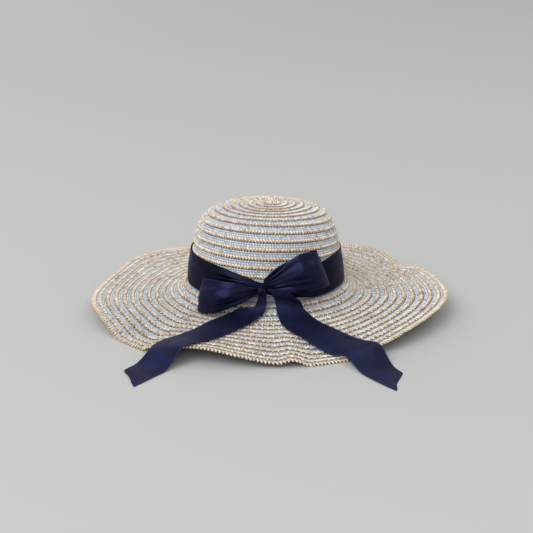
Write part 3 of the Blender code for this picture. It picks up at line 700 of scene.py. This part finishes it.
def ribbon(name, stations, closed, finish):
    """A thin wall round a grid of points, each row one line across the ribbon."""
    grid = np.asarray(stations, float)
    count, width = grid.shape[:2]
    if closed:
        before, after = np.roll(grid, 1, 0), np.roll(grid, -1, 0)
    else:
        padded = np.concatenate((grid[:1], grid, grid[-1:]))
        before, after = padded[:-2], padded[2:]
    sides = np.concatenate((grid[:, :1], grid, grid[:, -1:]), 1)
    normal = np.cross(after - before, sides[:, 2:] - sides[:, :-2])
    normal /= np.linalg.norm(normal, axis=2, keepdims=True)
    face = MM * (grid + normal * RIBBON_WALL / 2)
    back = MM * (grid - normal * RIBBON_WALL / 2)
    points = np.concatenate((face.reshape(-1, 3), back.reshape(-1, 3)))
    steps = np.linalg.norm(np.diff(grid[:, width // 2], axis=0), axis=1)
    along = np.concatenate(((0,), np.cumsum(steps))) * MM
    under = count * width
    faces, places = [], []
    for i in range(count if closed else count - 1):
        far_row = (i + 1) % count
        u = (along[i], along[i] + steps[min(i, len(steps) - 1)] * MM)
        for j in range(width - 1):
            v = (j * RIBBON_WIDTH * MM / (width - 1), (j + 1) * RIBBON_WIDTH * MM / (width - 1))
            near, far = i * width + j, far_row * width + j
            faces.append((near, near + 1, far + 1, far))
            places.append(((u[0], v[0]), (u[0], v[1]), (u[1], v[1]), (u[1], v[0])))
            faces.append((under + near, under + far, under + far + 1, under + near + 1))
            places.append(((u[0], v[0]), (u[1], v[0]), (u[1], v[1]), (u[0], v[1])))
        for j in (0, width - 1):
            near, far = i * width + j, far_row * width + j
            rim = (near, far, under + far, under + near)
            faces.append(rim if j == 0 else rim[::-1])
            v = 0 if j == 0 else RIBBON_WIDTH * MM
            places.append(((u[0], v), (u[1], v), (u[1], v), (u[0], v)))
    if not closed:
        for i in (0, count - 1):
            for j in range(width - 1):
                near = i * width + j
                rim = (near, under + near, under + near + 1, near + 1)
                faces.append(rim if i == 0 else rim[::-1])
                places.append(((along[i], 0),) * 4)
    mesh = bpy.data.meshes.new(name)
    mesh.from_pydata(points, [], faces)
    weave = mesh.uv_layers.new(name="weave")
    weave.data.foreach_set("uv", np.array([uv for face in places for uv in face], np.float32).ravel())
    mesh.materials.append(finish)
    mesh.shade_smooth()
    mesh.set_sharp_from_angle(angle=math.radians(50))
    piece = bpy.data.objects.new(name, mesh)
    bpy.context.collection.objects.link(piece)
    return piece


def read_rows(table, places):
    """A table's rows read at shares of its length, on smooth curves through them."""
    table = np.asarray(table, float)
    along = np.asarray(places, float) * (len(table) - 1)
    return np.stack([smooth(np.arange(len(table)), column, along) for column in table.T], -1)


def crease(folds, share, around):
    """Depth of the sharp folds that spread from the knot, at a share across and an angle from it."""
    depth = 0.0
    for place, deep, wide, reach in folds:
        fade = min(max(1 - around / reach, 0.0), 1.0)
        depth += deep * math.sqrt(fade) * math.exp(-((share - place) / wide) ** 2)
    return depth


def direction(azimuth):
    return np.array((math.cos(math.radians(azimuth)), math.sin(math.radians(azimuth)), 0.0))


def middle_of(point):
    """From the crown's middle to the hat's own frame, in millimetres."""
    return np.array((point[0] + CROWN_MIDDLE[0], point[1] + CROWN_MIDDLE[1], point[2]))


def wall_radius(azimuth, height):
    """Distance from the axis to the crown's side at a height."""
    level = min(max((height - FOOT_HEIGHT) / CROWN_RISE, 0.0), 1.0)
    return foot_radius(azimuth) * smooth(crown_block[:, 0], crown_block[:, 1], level)


# The hat band. The ribbon goes once round the crown's foot, pulled snug, and is gathered in
# lengthwise folds where the two ends meet in the knot at the front.
band_edges = np.array((
    # azimuth, bottom, top, fold, stand
    (0, 0.04, 0.99, 0.0, 1.5), (90, 0.03, 0.97, 0.0, 2.0), (180, 0.03, 0.95, 0.0, 3.0),
    (205, 0.03, 0.95, 0.0, 2.6), (217, 0.03, 0.93, 0.3, 2.4), (234, 0.05, 0.87, 0.8, 2.4),
    (245, 0.08, 0.79, 1.0, 2.6), (256, 0.16, 0.69, 1.0, 3.0), (267, 0.27, 0.56, 0.4, 3.0),
    (278, 0.18, 0.70, 1.0, 2.4), (293, 0.10, 0.85, 0.7, 2.0), (305, 0.03, 0.92, 0.3, 2.0),
    (318, 0.03, 0.95, 0.0, 1.8), (338, 0.05, 1.03, 0.0, 1.5),
))
BAND_STEPS = 220
BAND_STRIPES = 20
BAND_FOLDS = 2.6
FOLD_DEPTH = 3.2

stations = []
for k in range(BAND_STEPS):
    azimuth = 360 * k / BAND_STEPS
    bottom, top, fold, stand = (smooth_round(band_edges[:, (0, column)], azimuth) for column in (1, 2, 3, 4))
    station = []
    for j in range(BAND_STRIPES + 1):
        share = j / BAND_STRIPES
        height = FOOT_HEIGHT + RIBBON_WIDTH * (bottom + (top - bottom) * share)
        pleat = 0.5 + 0.5 * math.cos(share * math.tau * BAND_FOLDS + 0.5 * math.sin(math.radians(azimuth * 4)))
        point = direction(azimuth) * (wall_radius(azimuth, height) + stand + max(fold, 0.0) * FOLD_DEPTH * pleat)
        station.append(middle_of((point[0], point[1], height)))
    stations.append(station)
ribbon_band = ribbon("satin_band", stations, True, band_satin)

# The bow. Two loops stand out to the sides of a tight knot, folded back on themselves, and two tails
# lead from the knot over the brim and its edge to the floor, each cut off a little aslant.
KNOT_AZIMUTH = 267
KNOT_RISE = 17
KNOT_SIZE = (16, 15, 17)
KNOT_CLEAR = 1.9
BULGE_DEPTH = 6.0
LOOP_TILT = 0.22
EDGE_OVERHANG = 0.04
EDGE_DROP = 0.30
CREASE_SPAN = 2.5
TAIL_CLEAR = 1.6
TAIL_RIPPLE = 1.0
TAIL_RIPPLES = 3.4
CUT_SHARE = 0.14
END_NOTCH = 0.014

left_loop = (
    # around, height, stand, width, lean, bulge
    (-2.5, 0.42, 0.24, 0.22, 0, 0.1), (1.5, 0.40, 0.33, 0.36, 0, 0.3), (6, 0.37, 0.44, 0.50, -4, 0.6),
    (13, 0.32, 0.59, 0.69, -6, 1.0), (20, 0.25, 0.65, 0.86, -7, 1.2), (27, 0.20, 0.60, 0.95, -8, 1.1),
    (33, 0.165, 0.53, 0.98, -10, 0.7), (36, 0.15, 0.46, 0.99, -11, 0.3), (36.6, 0.15, 0.40, 0.99, -11, 0.0),
    (33, 0.18, 0.34, 0.98, -9, 0.0), (26, 0.24, 0.30, 0.91, -6, 0.0), (16, 0.32, 0.27, 0.72, -5, 0.0),
    (7, 0.37, 0.22, 0.52, -3, 0.0), (-1, 0.41, 0.17, 0.30, 0, 0.0),
)
right_loop = (
    # around, height, stand, width, lean, bulge
    (-3.5, 0.50, 0.24, 0.22, 0, 0.1), (0.5, 0.58, 0.28, 0.36, 2, 0.3), (5, 0.665, 0.33, 0.54, 4, 0.6),
    (10, 0.77, 0.38, 0.73, 0, 0.8), (15.5, 0.865, 0.44, 0.90, -6, 1.0), (21, 0.925, 0.50, 1.00, -13, 1.2),
    (27, 0.96, 0.50, 1.06, -19, 1.1), (32.5, 0.945, 0.44, 1.11, -23, 0.6), (36.5, 0.92, 0.33, 1.13, -25, 0.1),
    (38.5, 0.91, 0.22, 1.12, -25, 0.0), (36, 0.91, 0.15, 1.09, -23, 0.0), (29, 0.87, 0.12, 1.01, -18, 0.0),
    (20, 0.83, 0.12, 0.91, -8, 0.0), (11, 0.755, 0.13, 0.76, 0, 0.0), (5, 0.74, 0.14, 0.58, 4, 0.0),
    (0.4, 0.66, 0.15, 0.40, 2, 0.0), (-3.5, 0.56, 0.15, 0.24, 0, 0.0),
)
left_tail = (
    # azimuth, out, lift, width, across
    (267.6, 0.110, 0.62, 0.20, 0), (267.2, 0.106, 0.40, 0.24, 0), (266.9, 0.100, 0.20, 0.27, -3),
    (265.4, 0.112, 0.09, 0.37, -14),
    (259.2, 0.162, 0.03, 0.68, -45), (253.7, 0.281, 0.01, 0.90, -51), (249.1, 0.447, 0.00, 1.00, -54),
    (246.5, 0.624, 0.00, 1.00, -54), (243.9, 0.783, 0.00, 1.01, -54), (241.8, 0.915, 0.00, 1.03, -55),
    (240.9, 1.020, 0.00, 1.00, -53), (240.7, 1.125, 0.00, 0.93, -47), (240.2, 1.240, 0.00, 0.92, -43),
    (239.6, 1.375, 0.00, 0.98, -52), (239.4, 1.500, 0.00, 1.04, -63), (239.3, 1.615, 0.00, 1.10, -73),
)
right_tail = (
    # azimuth, out, lift, width, across
    (277.1, 0.153, 0.72, 0.46, 0), (279.3, 0.149, 0.60, 0.56, 0), (281.7, 0.134, 0.44, 0.66, 0),
    (283.7, 0.114, 0.27, 0.73, 3), (284.9, 0.120, 0.11, 0.78, 6), (286.1, 0.173, 0.04, 0.88, 14),
    (286.9, 0.276, 0.01, 0.98, 25), (288.6, 0.403, 0.00, 1.00, 37), (291.7, 0.546, 0.00, 1.00, 39),
    (294.6, 0.707, 0.00, 0.99, 37), (296.8, 0.859, 0.00, 0.98, 33), (299.1, 0.991, 0.00, 0.98, 30),
    (298.8, 1.134, 0.00, 0.99, 28), (298.4, 1.313, 0.00, 1.00, 38), (298.6, 1.508, 0.00, 1.02, 57),
    (298.9, 1.649, 0.00, 1.12, 76),
)
RIBBON_STRIPES = 16
LOOP_STEPS = 72
TAIL_STEPS = 110

knot_height = FOOT_HEIGHT + KNOT_RISE
knot_out = wall_radius(KNOT_AZIMUTH, knot_height) + KNOT_CLEAR + FOLD_DEPTH + KNOT_SIZE[1] / 2
knot_side = math.degrees(math.asin(KNOT_SIZE[0] / 2 / knot_out))


def tail_ground(point):
    """Height of the straw, or past the brim's edge of the ribbon's fall to the floor."""
    azimuth = math.degrees(math.atan2(point[1], point[0])) % 360
    reach = BRIM_WIDTH * smooth_round(edge_reach, azimuth)
    out = (math.hypot(point[0], point[1]) - foot_radius(azimuth)) / reach
    nearby = azimuth + np.array((-CREASE_SPAN, 0, CREASE_SPAN))
    height = brim_surface(np.full(3, out), nearby)[:, 2].max() / MM + TAIL_CLEAR
    drop = min(max((out - 1.0 - EDGE_OVERHANG) / EDGE_DROP, 0.0), 1.0)
    return height * (1 - 3 * drop**2 + 2 * drop**3)


left_folds = (
    # place across, depth, width, reach
    (0.37, 2.8, 0.09, 42), (0.07, 2.4, 0.06, 12), (-0.12, 2.4, 0.06, 14), (-0.29, 3.0, 0.09, 44),
)
right_folds = (
    # place across, depth, width, reach
    (0.33, 3.8, 0.05, 32), (0.10, 2.0, 0.05, 13), (-0.12, 2.6, 0.06, 20), (-0.30, 3.4, 0.08, 42),
)


def bow_loop(name, side, table, folds):
    """A loop from the knot out to its fold and back behind itself, on the hat's side given by side."""
    stations = []
    for around, height, stand, width, lean, bulge in read_rows(table, np.linspace(0, 1, LOOP_STEPS)):
        azimuth = KNOT_AZIMUTH + side * (knot_side + around)
        station = []
        for share in np.linspace(-0.5, 0.5, RIBBON_STRIPES + 1):
            offset = share * width * RIBBON_WIDTH
            rise = offset * math.cos(math.radians(lean))
            run = offset * math.sin(math.radians(lean))
            swell = bulge * (BULGE_DEPTH * (1 - (2 * share) ** 2) - LOOP_TILT * offset)
            swell -= min(bulge * 4, 1) * crease(folds, share, around)
            radius = foot_radius(azimuth) + stand * RIBBON_WIDTH + swell
            turn = math.degrees(side * run / radius)
            point = direction(azimuth + turn) * radius
            point[2] = FOOT_HEIGHT + height * RIBBON_WIDTH + rise
            point[2] = max(point[2], tail_ground(point) + RIBBON_WALL / 2)
            station.append(middle_of(point))
        stations.append(station)
    return ribbon(name, stations, False, bow_satin)


def bow_tail(name, table, ceiling, phase):
    """A tail that comes out under the knot and lies over the straw, and its slightly curved cut end."""
    stations = []
    for along in np.linspace(0, 1, TAIL_STEPS):
        station = []
        shares = np.linspace(-0.5, 0.5, RIBBON_STRIPES + 1)
        end = min(max((along - 1 + CUT_SHARE) / CUT_SHARE, 0), 1)
        places = along - END_NOTCH * end * (1 - np.abs(2 * shares - 0.2)) + 0.004 * end * np.sin(9 * shares)
        for share, (azimuth, out, lift, width, across) in zip(shares, read_rows(table, np.minimum(places, 1))):
            centre = direction(azimuth) * (foot_radius(azimuth) + out * BRIM_WIDTH)
            point = centre + direction(across) * (share * width * RIBBON_WIDTH)
            ripple = 1 + math.sin(math.tau * (TAIL_RIPPLES * along + 0.35 * share) + phase)
            point[2] = tail_ground(point) + lift * RIBBON_WIDTH + RIBBON_WALL / 2 + TAIL_RIPPLE * ripple / 2
            point[2] = min(point[2], ceiling)
            station.append(middle_of(point))
        stations.append(station)
    return ribbon(name, stations, False, tail_satin)


# The knot itself. On the real bow the ribbon passes over it once, slantwise, and is pulled so tight
# that the satin is squeezed into narrow folds round it.
KNOT_FOLD = 1.0
KNOT_FOLDS = 7.5
KNOT_LEAN = 24
KNOT_INSET = (2.4, 2.2)
KNOT_RINGS = 24
KNOT_SIDES = 36


def bow_knot(name):
    """A closed lump between the loops, round at its ends and squarish in its section."""
    half = (KNOT_SIZE[0] / 2 - KNOT_INSET[0], KNOT_SIZE[1] / 2, KNOT_SIZE[2] / 2 - KNOT_INSET[1])
    centre = direction(KNOT_AZIMUTH) * knot_out
    outward_way = direction(KNOT_AZIMUTH)
    side_way = direction(KNOT_AZIMUTH + 90)
    lean = math.radians(KNOT_LEAN)
    shape = bmesh.new()
    rings = []
    for i in range(1, KNOT_RINGS):
        across = math.cos(math.pi * i / KNOT_RINGS)
        girth = math.sin(math.pi * i / KNOT_RINGS) ** 0.55
        ring = []
        for k in range(KNOT_SIDES):
            turn = math.tau * k / KNOT_SIDES
            fold = KNOT_FOLD * (math.cos(across * KNOT_FOLDS + 1.3 * math.sin(turn)) - 1) * girth / 2
            forward = math.copysign(abs(math.cos(turn)) ** 0.8, math.cos(turn)) * (half[1] + fold) * girth
            rise = math.copysign(abs(math.sin(turn)) ** 0.8, math.sin(turn)) * (half[2] + fold) * girth
            run = across * half[0]
            place = centre + outward_way * forward + side_way * (run * math.cos(lean) + rise * math.sin(lean) * 0.5)
            place[2] = knot_height + rise * math.cos(lean) - run * math.sin(lean) * 0.5
            ring.append(shape.verts.new(MM * middle_of(place)))
        rings.append(ring)
    weave = shape.loops.layers.uv.new("weave")
    for first, second in zip(rings, rings[1:]):
        for k in range(KNOT_SIDES):
            after = (k + 1) % KNOT_SIDES
            shape.faces.new((first[k], first[after], second[after], second[k]))
    shape.faces.new(rings[0][::-1])
    shape.faces.new(rings[-1])
    bmesh.ops.recalc_face_normals(shape, faces=shape.faces)
    for face in shape.faces:
        face.smooth = True
        for loop in face.loops:
            loop[weave].uv = (loop.vert.co.z, RIBBON_WIDTH * MM / 2 + loop.vert.co.x - MM * middle_of(centre)[0])
    mesh = bpy.data.meshes.new(name)
    shape.to_mesh(mesh)
    shape.free()
    mesh.materials.append(bow_satin)
    piece = bpy.data.objects.new(name, mesh)
    bpy.context.collection.objects.link(piece)
    return piece


knot = bow_knot("satin_knot")
knot_top = knot_height + KNOT_SIZE[2] / 2
loop_left = bow_loop("satin_loop_left", -1, left_loop, left_folds)
loop_right = bow_loop("satin_loop_right", 1, right_loop, right_folds)
tail_left = bow_tail("satin_tail_left", left_tail, knot_height, 0.4)
tail_right = bow_tail("satin_tail_right", right_tail, knot_top, 2.6)
for piece, node, material_slot in (
        (ribbon_band, "ribbon_band", "band_satin"), (loop_left, "bow_loop_left", "bow_satin"),
        (loop_right, "bow_loop_right", "bow_satin"), (tail_left, "bow_tail_left", "bow_satin"),
        (tail_right, "bow_tail_right", "bow_satin"), (knot, "bow_knot", "bow_satin")):
    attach(piece, "root")
    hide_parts(node)

# The studio. The hat lies on a plain pale floor, lit by one large soft light from the upper left and
# by weak ones from the right, from the front and on the floor behind; the camera is the photograph's.
FLOOR_HALF = 9
floor_mesh = bpy.data.meshes.new("studio_floor")
floor_mesh.from_pydata([(x * FLOOR_HALF, y * FLOOR_HALF, 0) for x, y in ((-1, -1), (1, -1), (1, 1), (-1, 1))],
                       [], [(0, 1, 2, 3)])
floor = bpy.data.objects.new("studio_floor", floor_mesh)
bpy.context.collection.objects.link(floor)
floor_paint, _, floor_shader = new_finish("floor_paint", 0.7)
floor_shader.inputs["Base Color"].default_value = (0.456, 0.456, 0.453, 1)
floor_mesh.materials.append(floor_paint)

world = bpy.data.worlds.new("studio_air")
world.use_nodes = True
world.node_tree.nodes["Background"].inputs["Color"].default_value = (1.0, 0.985, 0.955, 1)
world.node_tree.nodes["Background"].inputs["Strength"].default_value = 0.73
bpy.context.scene.world = world


studio_lights = (
    # name, place, aim, size, watts, tint
    ("key_light", (-2.4, -2.6, 3.7), (0, 0, 0.05), 4.2, 149, (0.94, 0.98, 1.0)),
    ("fill_light", (2.4, 0.6, 2.8), (0.1, 0, 0), 2.2, 12, (1.0, 0.99, 0.96)),
    ("front_light", (-0.3, -2.7, 1.3), (0, 0, 0.08), 1.2, 13, (1.0, 0.99, 0.97)),
    ("wall_light", (-2.8, 4.4, 2.4), (-0.7, 3.2, 0), 2.0, 30, (0.97, 0.985, 1.0)),
)
for name, place, aim, size, watts, tint in studio_lights:
    lamp = bpy.data.lights.new(name, "AREA")
    lamp.shape = "DISK"
    lamp.size = size
    lamp.energy = watts
    lamp.color = tint
    light = bpy.data.objects.new(name, lamp)
    light.location = place
    light.rotation_euler = (Vector(aim) - Vector(place)).to_track_quat("-Z", "Y").to_euler()
    bpy.context.collection.objects.link(light)

# The camera looks at the bow from a little above. The floor under the crown's middle is at FLOOR_ROW in
# its frame, counted in pixels from the top, and CAMERA_AWAY is in metres.
LOOK_DOWN = math.radians(17.54)
LENS = 85
SENSOR = 36
FRAME_PIXELS = 533
FLOOR_ROW = 303
CAMERA_AWAY = 1.509
LENS_PIXELS = LENS / SENSOR * FRAME_PIXELS
ahead = Vector((0, math.cos(LOOK_DOWN), -math.sin(LOOK_DOWN)))
upward = Vector((0, math.sin(LOOK_DOWN), math.cos(LOOK_DOWN)))
aim_point = Vector((CROWN_MIDDLE[0] * MM, CROWN_MIDDLE[1] * MM, 0))
camera_data = bpy.data.cameras.new("photo_camera")
camera_data.lens = LENS
camera_data.sensor_width = SENSOR
camera = bpy.data.objects.new("photo_camera", camera_data)
camera.location = aim_point - CAMERA_AWAY * (ahead - upward * ((FLOOR_ROW - FRAME_PIXELS / 2) / LENS_PIXELS))
camera.rotation_euler = (math.radians(90) - LOOK_DOWN, 0, 0)
bpy.context.collection.objects.link(camera)
bpy.context.scene.camera = camera
bpy.context.scene.view_settings.view_transform = "Standard"
